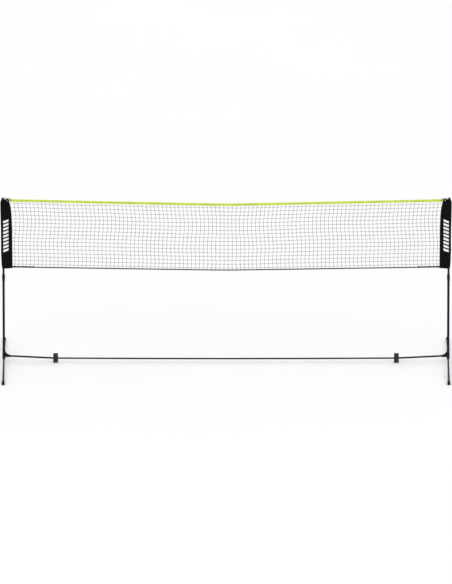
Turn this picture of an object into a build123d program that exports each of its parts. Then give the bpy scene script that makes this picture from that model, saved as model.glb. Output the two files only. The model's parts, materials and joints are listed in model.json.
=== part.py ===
from build123d import *
import os
from math import asin, cos, sin

os.makedirs("parts", exist_ok=True)

# Portable badminton net. Sizes are in millimetres, X runs along the net, Y across it, Z up.
# The left side is modelled about its own post, with x counted inboard from the post's axis,
# and the right side is its mirror image.

# Frame
POST_X = 2000.0  # each post's axis from the middle of the net
LOWER_OD = 22.0
LOWER_WALL = 1.0
LOWER_TOP = 820.0
UPPER_OD = 19.0
UPPER_WALL = 0.8
UPPER_LOW = 732.0
UPPER_TOP = 1558.0
ARM_OD = 16.0
ARM_WALL = 1.0
ARM_Z = 64.0  # arm's axis, produced to the post's axis
BAR_OD = 14.0
BAR_WALL = 0.8
COUPLER_X = 466.0
COUPLER_RIB = 2.0  # half the wall between the arm's bore and the crossbar's
# Crossbar's axis at its end, its outer joint and its middle, with x from the middle of the net
BAR_X = (POST_X - COUPLER_X - COUPLER_RIB, (POST_X - COUPLER_X) / 2, 0.0)
BAR_Z = (40.6, 36.9, 35.4)

# Hub
HUB_OD = 25.0
HUB_LOW = 40.0
HUB_FLOOR = 46.0
HUB_TOP = 128.0
HUB_RIM_OD = 26.6
HUB_RIM_TALL = 7.0
HUB_CHAMFER = 0.8
ARM_START = 14.0
ARM_SOCKET_X = (8.0, 56.0)
ARM_SOCKET_OD = (26.0, 21.0)
ARM_BAND_X = (42.0, 50.0)
ARM_BAND_OD = 24.0
GUSSET_CURVE = ((10, 120), (20, 94), (50, 73))
GUSSET_LOW = 62.0
GUSSET_DEEP = 8.0
PIVOT_Y = 24.0
PLATE = 5.0
PLATE_R = 14.0
PLATE_TOP = 68.0  # underside of the upper plate

# Fasteners
SCREW_OD = 4.0
SCREW_HEAD_OD = 7.5
SCREW_HEAD_TALL = 2.6
SCREW_HEAD_ROUND = 1.4
SCREW_CROSS = 1.0
POST_SCREW_Z = 104.0
ARM_SCREW_X = 36.0
ARM_SCREW_Y = 12.0
PIN_OD = 6.0
PIN_HEAD_R = 5.5
PIN_HEAD_TALL = 3.2
PIN_HEAD_ROUND = 1.8
PIN_NUT_R = 5.0
PIN_NUT_TALL = 4.0
PIN_END = 1.0  # pin's end below its nut

# Legs, with d counted from the pivot along the ground
LEG_Z = 56.0
LEG_TIP_Z = 12.0
LEG_TIP_D = 566.0
LEG_START_D = 22.0
LEG_END_D = 552.0
LEG_START_OD = 16.0
LEG_END_OD = 19.5
LEG_WALL = 1.0
KNUCKLE_OD = 22.0
KNUCKLE_CHAMFER = 0.6
KNUCKLE_NECK_D = 4.0
KNUCKLE_SPIGOT = 36.0
CAP_OD = 25.6
CAP_START_D = 530.0
CAP_END_D = 576.0
CAP_ROUND = 5.0
CAP_CHAMFER = 1.5
CAP_GROOVES_D = (539.0, 546.0, 553.0)
CAP_GROOVE_WIDE = 2.0
CAP_GROOVE_DEEP = 0.8

# Twist lock
COLLAR_LOW = 774.0
COLLAR_TOP = 808.5
COLLAR_LOW_R = 11.9
COLLAR_TOP_R = 13.2
COLLAR_CHAMFER = 0.4
NECK_R = 11.8
NECK_MOUTH_R = 11.1
NECK_SEAT_R = 10.1
NECK_TOP = 828.0
NUT_LOW = 808.8
NUT_TOP = 846.0
NUT_R = 13.6
NUT_TOP_R = 12.5
NUT_ROOF = 5.0
NUT_CONE_R = 11.2
GRIP_FLUTES = 16
FLUTE_OD = 2.2
COLLET_LOW_R = 9.95
COLLET_MID_R = 10.8
COLLET_TOP_R = 10.2
COLLET_SLIT = 1.6
CAP_SHANK = 18.0  # post cap's shank inside the tube
CAP_RISE = (5.0, 8.4, 10.0, 10.4)
BUSH_LOW = 14.0  # glide bush below the upper tube
BUSH_SHANK = 20.0
BUSH_BORE_R = 6.9

# Coupler
COUPLER_LONG = 43.0
COUPLER_TOP = 84.0
COUPLER_WEB = 5.0
CLIP_R = 13.0
CLIP_BORE_R = 9.6
CLIP_DROP = 5.0  # clip's axis from the mouth's lips
CHEEK_LONG = 12.0
CHEEK_DEEP = 19.0
CHEEK_CHAMFER = 1.2
BARREL_R = 13.0
BARREL_NOSE_OD = 19.0
BARREL_NOSE = 5.0

# Crossbar
BAR_JOINT_GAP = 0.1
FERRULE_REACH = 40.0
FERRULE_WALL = 1.2
FERRULE_PLAY = 0.3
FERRULE_TILT = 0.7  # outer ferrules' slope as a share of the end tube's
CORD_THIN_OD = 3.0
CORD_KNOT_R = 3.6
CORD_END_INSET = 8.0
CORD_END_DROP = 2.4
KNOT_DROP = 1.4
ANCHOR_INSET = 14.0
ANCHOR_THICK = 4.0
ANCHOR_SLOT = 3.6

# Sleeves: a pocket round the post that narrows to a sewn edge
SLEEVE_LOW = 903.0
SLEEVE_TOP = 1573.0
SLEEVE_R = 19.0
SLEEVE_CX = -3.0
SLEEVE_EDGE_X = 76.0
SLEEVE_EDGE_R = 2.0
SLEEVE_SEAM_X = 62.0
CLOTH = 1.5
EYELET_X = 33.0
EYELET_Z = 1553.0
EYELET_BORE = 5.0
EYELET_OD = 10.0
EYELET_THICK = 1.2
EYELET_ROUND = 0.5
PATCH_X = 18.0
PATCH_WIDE = 30.0
PATCH_THICK = 1.6

# Net
TAPE_X = 52.0
TAPE_Z = 1550.0
TAPE_APEX_Z = 1507.0
TAPE_TALL = 25.0
TAPE_DEEP = 8.0
TAPE_ROUND = 3.5
TAPE_SLOT_UP = 10.5  # height of the slot that holds the panel's edge
TAPE_BEND_R = 9300.0
ROPE_OD = 5.0
ROPE_RISE = 7.4
CORD_X = 78.4
CORD_Z = 913.4
CORD_APEX_Z = 882.6
CORD_OD = 9.0
CORD_BEND_R = 6300.0
PANEL_DEEP = 1.0
PANEL_INSET = 3.0  # panel's top edge below the tape's middle line
PANEL_EDGE = ((79.4, 1300), (72.5, 1450), (60.6, 1510))  # along the sleeve's sewn edge
TIES_X = (62.0, 70.0)
TIE_OD = 2.6
TIE_ROUND = 4.5

GAP = 0.3  # between soft pieces and their neighbours


def rod(diameter, start, end):
    """A solid round bar between two points on its axis."""
    along = Vector(*end) - Vector(*start)
    return extrude(Plane(origin=start, z_dir=along) * Circle(diameter / 2), along.length)


def cone(start_diameter, end_diameter, start, end):
    """A solid round bar that tapers between two points on its axis."""
    along = Vector(*end) - Vector(*start)
    from_start = (Align.CENTER, Align.CENTER, Align.MIN)
    solid = Cone(start_diameter / 2, end_diameter / 2, along.length, align=from_start)
    return Plane(origin=start, z_dir=along) * solid


def tube(diameter, wall, start, end):
    """A round tube between two points on its axis."""
    along = Vector(*end) - Vector(*start)
    ring = Circle(diameter / 2) - Circle(diameter / 2 - wall)
    return extrude(Plane(origin=start, z_dir=along) * ring, along.length)


def turned(*points):
    """A solid of revolution about Z from (radius, height) points."""
    return revolve(Plane.XZ * make_face(Polyline(*points, close=True)), Axis.Z)


def plate_xz(depth, *points):
    """A plate of the given depth along Y, centred on Y = 0, from (x, z) points."""
    return extrude(Plane.XZ * make_face(Polyline(*points, close=True)), depth / 2, both=True)


def swept(section, *points, radius):
    """A section in the YZ plane carried along X on straight runs joined by arcs."""
    path = FilletPolyline(*points, radius=radius)
    return sweep(Plane(origin=path @ 0, x_dir=(0, 1, 0), z_dir=path % 0) * section, path)


def halves(shape):
    """The left and right lengths of a piece that runs across the net, which meet at its middle."""
    return Compound([
        (shape & Pos(side * POST_X / 2, 0, SLEEVE_TOP / 2) * Box(POST_X, 100, 2 * SLEEVE_TOP)).solid()
        for side in (-1, 1)
    ])


def save(name, shape):
    export_step(shape, f"parts/{name}.step")


def save_pair(name, shape):
    """Write a piece of the left side and its mirror image on the right."""
    left = Pos(-POST_X, 0, 0) * shape
    save(f"left_{name}", left)
    save(f"right_{name}", mirror(left, about=Plane.YZ))


def save_legs(name, shape):
    """Write a piece of the front leg and its mirror image on the rear leg, on both sides."""
    save_pair(f"front_{name}", shape)
    save_pair(f"rear_{name}", mirror(shape, about=Plane.XZ))


def arm_point(x):
    """The arm's axis, which falls from the hub to the coupler."""
    return (x, 0, ARM_Z - (ARM_Z - BAR_Z[0]) * x / COUPLER_X)


def bar_end_point(x):
    """The axis of the crossbar's end tube, which falls from the coupler to its first joint."""
    start, joint = POST_X - BAR_X[0], POST_X - BAR_X[1]
    return (x, 0, BAR_Z[0] - (BAR_Z[0] - BAR_Z[1]) * (x - start) / (joint - start))


def leg_point(d):
    """The front leg's axis, which falls from its pivot to the ground."""
    return (0, -PIVOT_Y - d, LEG_Z - (LEG_Z - LEG_TIP_Z) * d / LEG_TIP_D)


def pan_screw(under_head, tip):
    """A screw with a domed, cross-cut head, along the line from under its head to its tip."""
    outward = Vector(*under_head) - Vector(*tip)
    seat = Plane(origin=under_head, z_dir=outward)
    dome = extrude(Circle(SCREW_HEAD_OD / 2), SCREW_HEAD_TALL)
    dome = fillet(dome.faces().sort_by(Axis.Z)[-1].edges(), SCREW_HEAD_ROUND)
    arm, deep = SCREW_HEAD_OD * 0.6, SCREW_HEAD_TALL * 0.9
    dome -= Pos(0, 0, SCREW_HEAD_TALL) * (Box(arm, SCREW_CROSS, deep) + Box(SCREW_CROSS, arm, deep))
    return seat * dome + rod(SCREW_OD, tip, under_head)


# Hub: post socket, arm socket with its gusset, and the yoke plates that hold both legs
def hub():
    plate = SlotCenterToCenter(2 * PIVOT_Y, 2 * PLATE_R, rotation=90)
    lower_plate = Pos(0, 0, HUB_LOW) * extrude(plate, PLATE)
    upper_plate = Pos(0, 0, PLATE_TOP) * extrude(plate, PLATE)
    body = chamfer(lower_plate.faces().sort_by(Axis.Z)[0].edges(), HUB_CHAMFER)
    body += chamfer(upper_plate.faces().sort_by(Axis.Z)[-1].edges(), HUB_CHAMFER)
    body += rod(HUB_OD, (0, 0, HUB_LOW), (0, 0, HUB_TOP))
    body += rod(HUB_RIM_OD, (0, 0, HUB_TOP - HUB_RIM_TALL), (0, 0, HUB_TOP))
    root, mouth = ARM_SOCKET_X
    body += cone(*ARM_SOCKET_OD, arm_point(root), arm_point(mouth))
    body += rod(ARM_BAND_OD, arm_point(ARM_BAND_X[0]), arm_point(ARM_BAND_X[1]))
    high, _, low = GUSSET_CURVE
    sides = Polyline(low, (low[0], GUSSET_LOW), (0, GUSSET_LOW), (0, high[1]), high)
    web = make_face(Curve() + [ThreePointArc(*GUSSET_CURVE), sides])
    body += extrude(Plane.XZ * web, GUSSET_DEEP / 2, both=True)
    body -= rod(LOWER_OD, (0, 0, HUB_FLOOR), (0, 0, HUB_TOP + 1))
    body -= rod(ARM_OD, arm_point(ARM_START), arm_point(mouth + 1))
    for y in (-PIVOT_Y, PIVOT_Y):
        body -= rod(PIN_OD, (0, y, HUB_LOW - 1), (0, y, PLATE_TOP + PLATE + 1))
    for hole in screw_holes():
        body -= hole
    return body


def screw_lines():
    """The post's screw and the arm's screw, each from under its head to its tip in the tube's wall."""
    arm_z = arm_point(ARM_SCREW_X)[2]
    return [
        ((0, -HUB_OD / 2, POST_SCREW_Z), (0, -LOWER_OD / 2 + LOWER_WALL, POST_SCREW_Z)),
        ((ARM_SCREW_X, -ARM_SCREW_Y, arm_z), (ARM_SCREW_X, -ARM_OD / 2 + ARM_WALL, arm_z)),
    ]


def screw_holes():
    return [rod(SCREW_OD, tip, (head[0], head[1] - 5, head[2])) for head, tip in screw_lines()]


def hub_screws():
    return Compound([pan_screw(head, tip).solid() for head, tip in screw_lines()])


def leg_pins():
    """Pivot bolts with domed heads above the yoke and nuts below it."""
    pins = []
    for y in (-PIVOT_Y, PIVOT_Y):
        top = PLATE_TOP + PLATE
        head = Pos(0, y, top) * extrude(Circle(PIN_HEAD_R), PIN_HEAD_TALL)
        head = fillet(head.faces().sort_by(Axis.Z)[-1].edges(), PIN_HEAD_ROUND)
        nut_low = HUB_LOW - PIN_NUT_TALL
        nut = Pos(0, y, nut_low) * extrude(RegularPolygon(PIN_NUT_R, 6), PIN_NUT_TALL)
        pins.append((head + rod(PIN_OD, (0, y, nut_low - PIN_END), (0, y, top)) + nut).solid())
    return Compound(pins)


def lower_post():
    return tube(LOWER_OD, LOWER_WALL, (0, 0, HUB_FLOOR), (0, 0, LOWER_TOP)) - screw_holes()[0]


def arm_tube():
    bar = tube(ARM_OD, ARM_WALL, arm_point(ARM_START), arm_point(COUPLER_X - COUPLER_RIB))
    return bar - screw_holes()[1]


# Coupler: a barrel that joins the arm to the crossbar, a clip above it and a clip that is its foot
def coupler():
    low, high = COUPLER_X - COUPLER_LONG / 2, COUPLER_X + COUPLER_LONG / 2
    barrel_z = BAR_Z[0]
    clip_z = (CLIP_DROP, COUPLER_TOP - CLIP_DROP)
    body = rod(2 * BARREL_R, (low, 0, barrel_z), (high, 0, barrel_z))
    body += rod(BARREL_NOSE_OD, (high, 0, barrel_z), (high + BARREL_NOSE, 0, barrel_z))
    for z in clip_z:
        body += rod(2 * CLIP_R, (low, 0, z), (high, 0, z))
    middle = Pos(COUPLER_X, 0, COUPLER_TOP / 2)
    body += middle * Box(COUPLER_LONG, COUPLER_WEB, COUPLER_TOP - 10)
    for x in (low + CHEEK_LONG / 2, high - CHEEK_LONG / 2):
        cheek = Pos(x, 0, COUPLER_TOP / 2) * Box(CHEEK_LONG, CHEEK_DEEP, COUPLER_TOP - 14)
        body += chamfer(cheek.edges().filter_by(Axis.Z), CHEEK_CHAMFER)
    past = high + BARREL_NOSE + 1
    for z in clip_z:
        body -= rod(2 * CLIP_BORE_R, (low - 1, 0, z), (past, 0, z))
    body -= rod(ARM_OD, arm_point(COUPLER_X - COUPLER_RIB), arm_point(low - 2))
    body -= rod(BAR_OD + 0.1, bar_end_point(COUPLER_X), bar_end_point(past))
    return body & middle * Box(COUPLER_LONG + 20, 40, COUPLER_TOP)


# Twist lock: the body on the lower post, the split collet inside and the nut that squeezes it
def collar_body():
    bore = LOWER_OD / 2
    return turned(
        (bore, COLLAR_LOW), (COLLAR_LOW_R - COLLAR_CHAMFER, COLLAR_LOW), (COLLAR_LOW_R, COLLAR_LOW + 2),
        (COLLAR_TOP_R, COLLAR_TOP - 6), (COLLAR_TOP_R, COLLAR_TOP), (NECK_R, COLLAR_TOP),
        (NECK_R, NECK_TOP), (NECK_MOUTH_R, NECK_TOP), (NECK_SEAT_R, LOWER_TOP), (bore, LOWER_TOP),
    )


def collet():
    inner = UPPER_OD / 2 + 0.05
    ring = turned(
        (inner, LOWER_TOP + 0.5), (COLLET_LOW_R, LOWER_TOP + 0.5), (COLLET_MID_R, NECK_TOP),
        (COLLET_MID_R, NECK_TOP + 2), (COLLET_TOP_R, NECK_TOP + 7), (inner, NECK_TOP + 7),
    )
    return ring - Pos(0, UPPER_OD / 2, NECK_TOP) * Box(COLLET_SLIT, 8, 30)


def lock_nut():
    inner = UPPER_OD / 2 + 0.4
    bore = NECK_R + 0.08
    body = turned(
        (bore, NUT_LOW), (NUT_R - 0.8, NUT_LOW), (NUT_R, NUT_LOW + 0.8), (NUT_R, NUT_LOW + 6),
        (NUT_TOP_R, NUT_TOP - 2), (NUT_TOP_R - 1.2, NUT_TOP), (inner, NUT_TOP), (inner, NUT_TOP - NUT_ROOF),
        (NUT_CONE_R, NECK_TOP + 2.5), (bore, NECK_TOP + 2.5),
    )
    flute = rod(FLUTE_OD, (NUT_R + 0.4, 0, NUT_LOW + 5), (NUT_R - 0.2, 0, NUT_TOP - 5))
    for turn in range(GRIP_FLUTES):
        body -= Rot(0, 0, 360 * turn / GRIP_FLUTES) * flute
    return body


def upper_post():
    return tube(UPPER_OD, UPPER_WALL, (0, 0, UPPER_LOW), (0, 0, UPPER_TOP))


def post_cap():
    """The cap on the upper post, with a domed top and a shank that fills the tube's end."""
    spigot = UPPER_OD / 2 - UPPER_WALL
    rim = UPPER_OD / 2
    low = UPPER_TOP - CAP_SHANK
    side, shoulder, crown, peak = (UPPER_TOP + rise for rise in CAP_RISE)
    return turned(
        (0, low), (spigot - 1, low), (spigot, low + 2), (spigot, UPPER_TOP), (rim, UPPER_TOP),
        (rim, side), (rim - 2, shoulder), (rim - 5, crown), (0, peak),
    )


def glide_bush():
    """The bush on the upper post's lower end, which runs inside the lower post."""
    spigot = UPPER_OD / 2 - UPPER_WALL
    outer = LOWER_OD / 2 - LOWER_WALL - 0.05
    low, high = UPPER_LOW - BUSH_LOW, UPPER_LOW + BUSH_SHANK
    return turned(
        (BUSH_BORE_R, low), (outer - 1, low), (outer, low + 1), (outer, UPPER_LOW), (spigot, UPPER_LOW),
        (spigot, high), (BUSH_BORE_R, high),
    )


# Legs
def leg_od(d):
    """The leg tube's diameter, which grows towards the ground."""
    return LEG_START_OD + (LEG_END_OD - LEG_START_OD) * (d - LEG_START_D) / (LEG_END_D - LEG_START_D)


def leg_tube():
    start, end = leg_point(LEG_START_D), leg_point(LEG_END_D)
    inside = cone(leg_od(LEG_START_D) - 2 * LEG_WALL, leg_od(LEG_END_D) - 2 * LEG_WALL, start, end)
    return cone(leg_od(LEG_START_D), leg_od(LEG_END_D), start, end) - inside


def leg_knuckle():
    """The moulded eye that turns between the yoke plates, with the spigot that fills the tube's end."""
    low, high = HUB_LOW + PLATE + GAP, PLATE_TOP - GAP
    eye = chamfer(rod(KNUCKLE_OD, (0, -PIVOT_Y, low), (0, -PIVOT_Y, high)).edges(), KNUCKLE_CHAMFER)
    body = eye + rod(LEG_START_OD, leg_point(KNUCKLE_NECK_D), leg_point(LEG_START_D))
    spigot_od = LEG_START_OD - 2 * LEG_WALL - 0.1
    body += rod(spigot_od, leg_point(LEG_START_D), leg_point(LEG_START_D + KNUCKLE_SPIGOT))
    return body - rod(PIN_OD + 0.1, (0, -PIVOT_Y, low - 1), (0, -PIVOT_Y, high + 1))


def leg_cap():
    """A rubber cap with a rounded end, grip rings and a worn flat where it stands on the ground."""
    start, end = leg_point(CAP_START_D), leg_point(CAP_END_D)
    body = rod(CAP_OD, start, end)
    body = fillet(body.faces().sort_by(Axis.Y)[0].edges(), CAP_ROUND)
    body = chamfer(body.faces().sort_by(Axis.Y)[-1].edges(), CAP_CHAMFER)
    for at in CAP_GROOVES_D:
        groove = tube(CAP_OD + 4, CAP_GROOVE_DEEP + 2, leg_point(at), leg_point(at + CAP_GROOVE_WIDE))
        body -= groove
    mouth = CAP_START_D - 1
    body -= cone(leg_od(mouth), leg_od(LEG_END_D), leg_point(mouth), leg_point(LEG_END_D))
    ground = Pos(0, -PIVOT_Y - CAP_END_D, 50) * Box(100, 200, 100)
    return body & ground


# Crossbar: four tubes on inner ferrules, with an elastic cord through them
def bar_point(side, joint):
    """The crossbar's axis at its end, its outer joint or its middle, on one side."""
    return (side * BAR_X[joint], 0, BAR_Z[joint])


def crossbar_tubes():
    ends = [bar_point(-1, 0), bar_point(-1, 1), bar_point(-1, 2), bar_point(1, 1), bar_point(1, 0)]
    tubes = []
    for (start_x, _, start_z), (end_x, _, end_z) in zip(ends, ends[1:]):
        start = (start_x + BAR_JOINT_GAP / 2, 0, start_z)
        tubes.append(tube(BAR_OD, BAR_WALL, start, (end_x - BAR_JOINT_GAP / 2, 0, end_z)))
    return tubes


def crossbar_ferrules():
    """The inner tubes that join the crossbar's tubes end to end."""
    outer = BAR_OD - 2 * BAR_WALL - FERRULE_PLAY
    reach = FERRULE_REACH
    end_slope = (BAR_Z[1] - BAR_Z[0]) / (BAR_X[0] - BAR_X[1])
    pieces = []
    for side in (-1, 0, 1):
        x, _, z = bar_point(side, 1) if side else bar_point(0, 2)
        tilt = -side * reach * end_slope * FERRULE_TILT
        pieces.append(tube(outer, FERRULE_WALL, (x - reach, 0, z - tilt), (x + reach, 0, z + tilt)).solid())
    return Compound(pieces)


def crossbar_cord():
    """The elastic cord, pulled straight between its two end knots."""
    reach = BAR_X[0] - CORD_END_INSET
    ends = [(side * reach, 0, BAR_Z[0] - CORD_END_DROP) for side in (-1, 1)]
    middle = (0, 0, BAR_Z[2])
    cord = rod(CORD_THIN_OD, ends[0], middle) + rod(CORD_THIN_OD, middle, ends[1])
    for side in (-1, 1):
        cord += Pos(side * reach, 0, BAR_Z[0] - KNOT_DROP) * Sphere(CORD_KNOT_R)
    return cord


def crossbar_anchors():
    """The discs in the crossbar's ends that the cord's knots pull against."""
    outer = BAR_OD - 2 * BAR_WALL - FERRULE_PLAY
    half = ANCHOR_THICK / 2
    z = BAR_Z[0] - 0.1
    pieces = []
    for side in (-1, 1):
        x = side * (BAR_X[0] - ANCHOR_INSET)
        disc = rod(outer, (x - half, 0, z), (x + half, 0, z))
        slot = Pos(x, 0, BAR_Z[0] - 4) * Box(ANCHOR_THICK + 2, ANCHOR_SLOT, 7)
        pieces.append((disc - slot).solid())
    return Compound(pieces)


# Sleeves
def pocket_section(inset, edge_x):
    """The pocket's outline from above, drawn in by a distance and ended at an edge."""
    share = (edge_x - SLEEVE_CX) / (SLEEVE_EDGE_X - SLEEVE_CX)
    edge_r = SLEEVE_R + (SLEEVE_EDGE_R - SLEEVE_R) * share - inset
    post_end = Pos(SLEEVE_CX, 0) * Circle(SLEEVE_R - inset)
    edge_end = Pos(edge_x, 0) * Circle(edge_r)
    return make_hull(post_end.edges() + edge_end.edges())


def pocket_front(*points):
    """A block with the pocket's outline from the front, from points down its inboard edge."""
    return plate_xz(60, (-40, points[-1][1]), (-40, points[0][1]), *points)


def sleeve():
    outer = Pos(0, 0, SLEEVE_LOW) * extrude(pocket_section(0, SLEEVE_EDGE_X), SLEEVE_TOP - SLEEVE_LOW)
    outer &= pocket_front(
        (38, SLEEVE_TOP), (46, 1545), (60, 1510), (72, 1450), (79, 1300), (79, SLEEVE_LOW),
    )
    inner = Pos(0, 0, SLEEVE_LOW - 1) * extrude(pocket_section(CLOTH, SLEEVE_SEAM_X), SLEEVE_TOP - SLEEVE_LOW)
    inner &= pocket_front(
        (31, SLEEVE_TOP - 4), (39, 1541), (53, 1506), (64, 1446), (70, 1300), (70, SLEEVE_LOW - 1),
    )
    return outer - inner - rod(EYELET_BORE, (EYELET_X, -40, EYELET_Z), (EYELET_X, 40, EYELET_Z))


def pocket_patch():
    """The webbing patch over the pocket's closed top."""
    patch = pocket_section(0, SLEEVE_EDGE_X) & Pos(PATCH_X, 0) * Rectangle(PATCH_WIDE, 50)
    return Pos(0, 0, SLEEVE_TOP + GAP) * extrude(patch, PATCH_THICK)


def eyelets():
    """The two washers round the tie's hole, one on each face of the sleeve."""
    lean = asin((SLEEVE_R - SLEEVE_EDGE_R) / (SLEEVE_EDGE_X - SLEEVE_CX))
    run = (EYELET_X - SLEEVE_CX - SLEEVE_R * sin(lean)) / cos(lean)
    pieces = []
    for side in (-1, 1):
        normal = Vector(sin(lean), side * cos(lean), 0)
        inboard = Vector(cos(lean), -side * sin(lean), 0)
        seat = Vector(SLEEVE_CX, 0, EYELET_Z) + normal * (SLEEVE_R + 0.1) + inboard * run
        washer = extrude(Circle(EYELET_OD / 2) - Circle(EYELET_BORE / 2), EYELET_THICK)
        washer = fillet(washer.faces().sort_by(Axis.Z)[-1].edges(), EYELET_ROUND)
        pieces.append((Plane(origin=seat, z_dir=normal) * washer).solid())
    return Compound(pieces)


# Net: a folded tape over its rope, the mesh panel, the bottom cord and the ties at the tape's ends
def level(end_x, end_z, apex_z, x):
    """The height at x of a straight line from the net's end to its middle."""
    return apex_z + (end_z - apex_z) * (POST_X - x) / (POST_X - end_x)


def across(end_x, end_z, apex_z, rise=0.0):
    """The three points of a line that dips from both ends to the middle."""
    return [(end_x - POST_X, 0, end_z + rise), (0, 0, apex_z + rise), (POST_X - end_x, 0, end_z + rise)]


def top_tape():
    """The folded tape, open round its rope and round the panel's top edge."""
    section = RectangleRounded(TAPE_DEEP, TAPE_TALL, TAPE_ROUND)
    section -= Pos(0, ROPE_RISE) * Circle(ROPE_OD / 2 + 0.2)
    section -= Pos(0, -TAPE_TALL / 2) * Rectangle(PANEL_DEEP + 2 * GAP, 2 * TAPE_SLOT_UP)
    return halves(swept(section, *across(TAPE_X, TAPE_Z, TAPE_APEX_Z), radius=TAPE_BEND_R))


def top_rope():
    line = across(TAPE_X, TAPE_Z, TAPE_APEX_Z, ROPE_RISE)
    return swept(Circle(ROPE_OD / 2), *line, radius=TAPE_BEND_R)


def bottom_cord():
    line = across(CORD_X, CORD_Z, CORD_APEX_Z)
    return halves(swept(Circle(CORD_OD / 2), *line, radius=CORD_BEND_R))


def net_panel():
    """A thin panel that stands in for the mesh, from the cord up into the tape."""
    under = CORD_OD / 2 + GAP
    dip = (CORD_Z - CORD_APEX_Z) / (POST_X - CORD_X)
    bend_rise = CORD_BEND_R * dip ** 2 / 2  # how far the cord's bend passes above its straight runs' corner
    low = (PANEL_EDGE[0][0], CORD_Z + under)
    high = (TAPE_X + 1, TAPE_Z - PANEL_INSET)
    left = [(x - POST_X, z) for x, z in (low, *PANEL_EDGE, high)]
    right = [(-x, z) for x, z in reversed(left)]
    middle_low = (0, CORD_APEX_Z + under + bend_rise)
    middle_high = (0, TAPE_APEX_Z - PANEL_INSET)
    panel = plate_xz(PANEL_DEEP, middle_low, *left, middle_high, *right)
    for x in TIES_X:
        tie_hole = Box(TIE_OD + 1, 10, TIE_OD + 1)
        z = level(TAPE_X, TAPE_Z, TAPE_APEX_Z, x) - TAPE_TALL / 2 - TIE_OD / 2 - 0.5
        for side in (-1, 1):
            panel -= Pos(side * (POST_X - x), 0, z) * tie_hole
    return panel


def tape_ties():
    """The cord lashing round the tape's end."""
    loops = []
    for x in TIES_X:
        z = level(TAPE_X, TAPE_Z, TAPE_APEX_Z, x)
        wide, tall = TAPE_DEEP + TIE_OD + 1, TAPE_TALL + TIE_OD + 1
        outline = RectangleRounded(wide, tall, TIE_ROUND)
        wire = (Plane(origin=(x, 0, z), x_dir=(0, 1, 0), z_dir=(1, 0, 0)) * outline).wire()
        section = Plane(origin=wire @ 0, z_dir=wire % 0) * Circle(TIE_OD / 2)
        loops.append(sweep(section, wire).solid())
    return Compound(loops)


save_pair("hub", hub())
save_pair("hub_screws", hub_screws())
save_pair("leg_pins", leg_pins())
save_pair("lower_post", lower_post())
save_pair("arm_tube", arm_tube())
save_pair("coupler", coupler())
save_pair("collar_body", collar_body())
save_pair("collet", collet())
save_pair("lock_nut", lock_nut())
save_pair("upper_post", upper_post())
save_pair("post_cap", post_cap())
save_pair("glide_bush", glide_bush())
save_legs("leg_tube", leg_tube())
save_legs("leg_knuckle", leg_knuckle())
save_legs("leg_cap", leg_cap())
for number, bar in enumerate(crossbar_tubes(), 1):
    save(f"crossbar_tube_{number}", bar)
save("crossbar_ferrules", crossbar_ferrules())
save("crossbar_cord", crossbar_cord())
save("crossbar_anchors", crossbar_anchors())
save_pair("sleeve", sleeve())
save_pair("pocket_patch", pocket_patch())
save_pair("eyelets", eyelets())
save_pair("tape_ties", tape_ties())
save("top_tape", top_tape())
save("top_rope", top_rope())
save("net_panel", net_panel())
save("bottom_cord", bottom_cord())
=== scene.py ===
import bmesh
import bpy
import json
import math
import numpy as np
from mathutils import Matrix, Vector, noise

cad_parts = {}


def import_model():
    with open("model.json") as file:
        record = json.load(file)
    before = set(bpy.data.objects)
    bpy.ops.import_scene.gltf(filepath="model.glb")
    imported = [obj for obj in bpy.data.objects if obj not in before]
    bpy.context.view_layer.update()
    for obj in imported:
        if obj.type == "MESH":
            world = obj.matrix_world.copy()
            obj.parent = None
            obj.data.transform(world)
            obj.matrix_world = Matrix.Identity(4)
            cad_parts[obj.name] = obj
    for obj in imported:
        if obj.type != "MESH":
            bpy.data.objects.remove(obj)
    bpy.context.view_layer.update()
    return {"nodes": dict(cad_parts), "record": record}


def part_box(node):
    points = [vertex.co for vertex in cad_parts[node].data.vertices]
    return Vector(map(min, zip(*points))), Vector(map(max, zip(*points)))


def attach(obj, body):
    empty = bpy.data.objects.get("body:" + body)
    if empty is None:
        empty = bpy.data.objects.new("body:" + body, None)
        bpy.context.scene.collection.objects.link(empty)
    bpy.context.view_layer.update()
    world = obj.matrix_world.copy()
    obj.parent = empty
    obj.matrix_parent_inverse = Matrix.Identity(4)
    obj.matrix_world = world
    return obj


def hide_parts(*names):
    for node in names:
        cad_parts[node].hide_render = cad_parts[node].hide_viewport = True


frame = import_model()

# Lengths are in metres. A "side" is -1 for the left post and 1 for the right one, and an
# "inboard" distance is counted from a post's axis towards the middle of the net.
SIDES = {"left": -1, "right": 1}

post_low, post_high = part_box("right_upper_post")
POST_X = (post_low.x + post_high.x) / 2

tape_low, tape_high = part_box("top_tape")
TAPE_TALL = 0.025
TAPE_END_X = tape_high.x
TAPE_END_Z = tape_high.z - TAPE_TALL / 2
TAPE_MID_Z = tape_low.z + TAPE_TALL / 2
TAPE_BEND = 0.15

cord_low, cord_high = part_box("bottom_cord")
CORD_R = cord_high.y
CORD_END_X = cord_high.x
CORD_END_Z = cord_high.z - CORD_R
CORD_MID_Z = cord_low.z + CORD_R
CORD_BEND = 0.08

sleeve_low, sleeve_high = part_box("right_sleeve")
SLEEVE_LOW_Z = sleeve_low.z
SLEEVE_TOP_Z = sleeve_high.z

MESH_PITCH = 0.0364
ROW_PITCH = 0.0359
FIRST_ROW = 0.0325  # the mesh's top line below the tape's middle line
ROWS = 17
LAST_COLUMN = 52.5  # columns are counted from the middle of the net, in half steps
TWINE_R = 0.0013


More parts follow.
